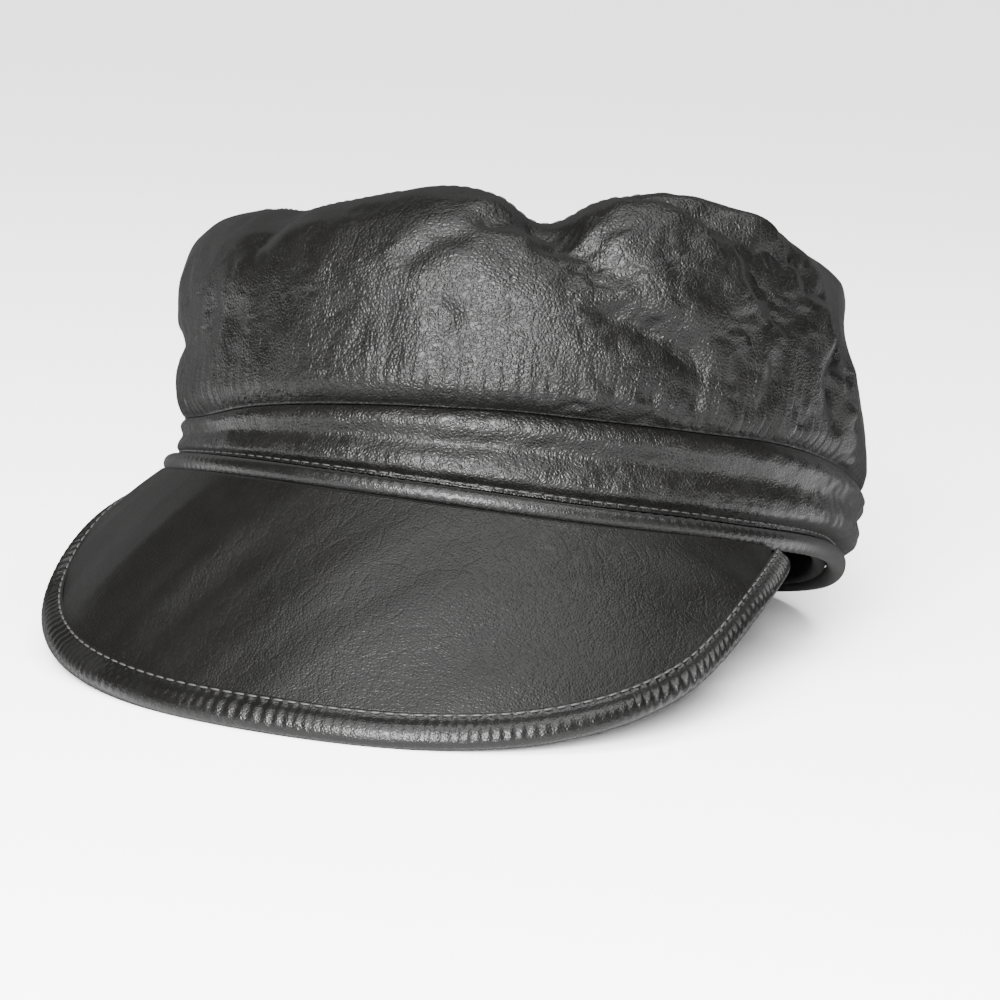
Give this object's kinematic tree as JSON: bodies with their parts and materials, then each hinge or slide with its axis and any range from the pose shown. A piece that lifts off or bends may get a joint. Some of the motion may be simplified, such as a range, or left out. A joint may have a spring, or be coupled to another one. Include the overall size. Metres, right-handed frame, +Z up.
{
  "type": "skipper cap",
  "caption": "Soft leather skipper cap with a full crown, a plain band, a rolled hem and a bound peak, resting on its back rim and the peak's edge.",
  "frame": {"origin": "centre of the cap's box on the surface that it rests on", "axes": "+Z up from that surface, the peak points to -Y, +X is the wearer's left"},
  "size_m": [0.1894, 0.2706, 0.1259],
  "materials": {
    "crown_leather": "creased black leather, soft sheen",
    "top_leather": "pebbled black leather, soft sheen",
    "band_leather": "pebbled black leather, soft sheen",
    "hem_leather": "rolled black leather, soft sheen",
    "sweatband_leather": "matt black leather",
    "peak_leather": "smooth black leather with soft creases",
    "binding_leather": "gathered black leather, soft sheen"
  },
  "bodies": {
    "root": {"crown_side": "crown_leather", "crown_top": "top_leather", "band": "band_leather", "hem_roll": "hem_leather", "sweatband": "sweatband_leather", "peak": "peak_leather", "peak_binding": "binding_leather"}
  },
  "joints": []
}
